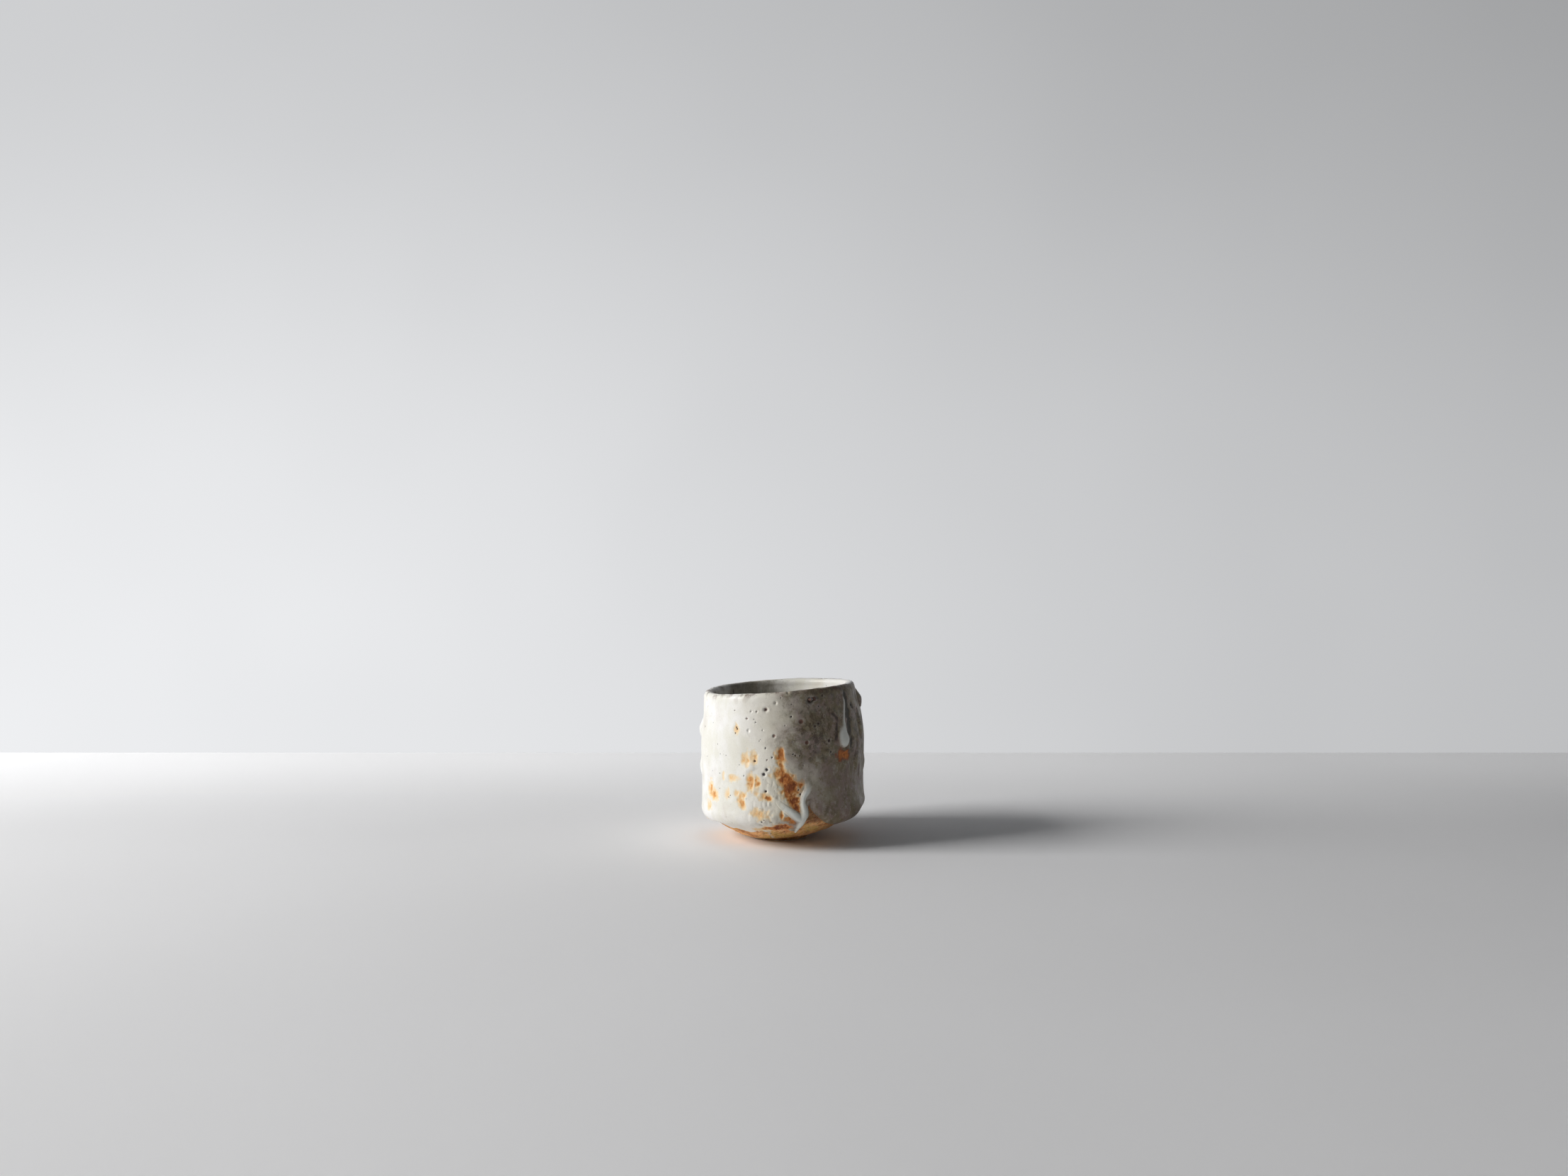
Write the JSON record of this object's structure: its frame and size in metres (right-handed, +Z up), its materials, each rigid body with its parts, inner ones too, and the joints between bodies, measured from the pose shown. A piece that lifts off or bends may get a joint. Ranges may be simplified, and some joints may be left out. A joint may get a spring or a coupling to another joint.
{
  "type": "guinomi sake cup",
  "caption": "Small hand-formed sake cup: near-cylindrical clay body on a low level foot ring, thick white glaze with runs and beads, open well.",
  "frame": {"origin": "centre of the foot ring, in the plane of its flat lower face, where it meets the table", "axes": "+Z up out of the well; +X towards the side where the lip stands highest; -Y towards the side with the forked run of glaze"},
  "size_m": [0.0657, 0.0653, 0.0616],
  "materials": {
    "body_clay": "unglazed ochre stoneware, rough and matt, scorched orange",
    "foot_clay": "unglazed ochre stoneware, rubbed smooth where it rests",
    "outer_glaze": "thick milky white, soft gloss, orange where thin, iron specks and pinholes",
    "liner_glaze": "milky white, glossy, fine iron specks",
    "run_glaze": "thick clear-edged white, glossy",
    "feldspar": "half-melted feldspar grain, glassy white"
  },
  "bodies": {
    "root": {"clay_body": "body_clay", "foot_ring": "foot_clay", "outer_glaze": "outer_glaze", "liner_glaze": "liner_glaze", "curtain_run": "run_glaze", "forked_run": "run_glaze", "rim_run": "run_glaze", "glaze_beads": "run_glaze", "burst_stone": "feldspar"}
  },
  "joints": []
}
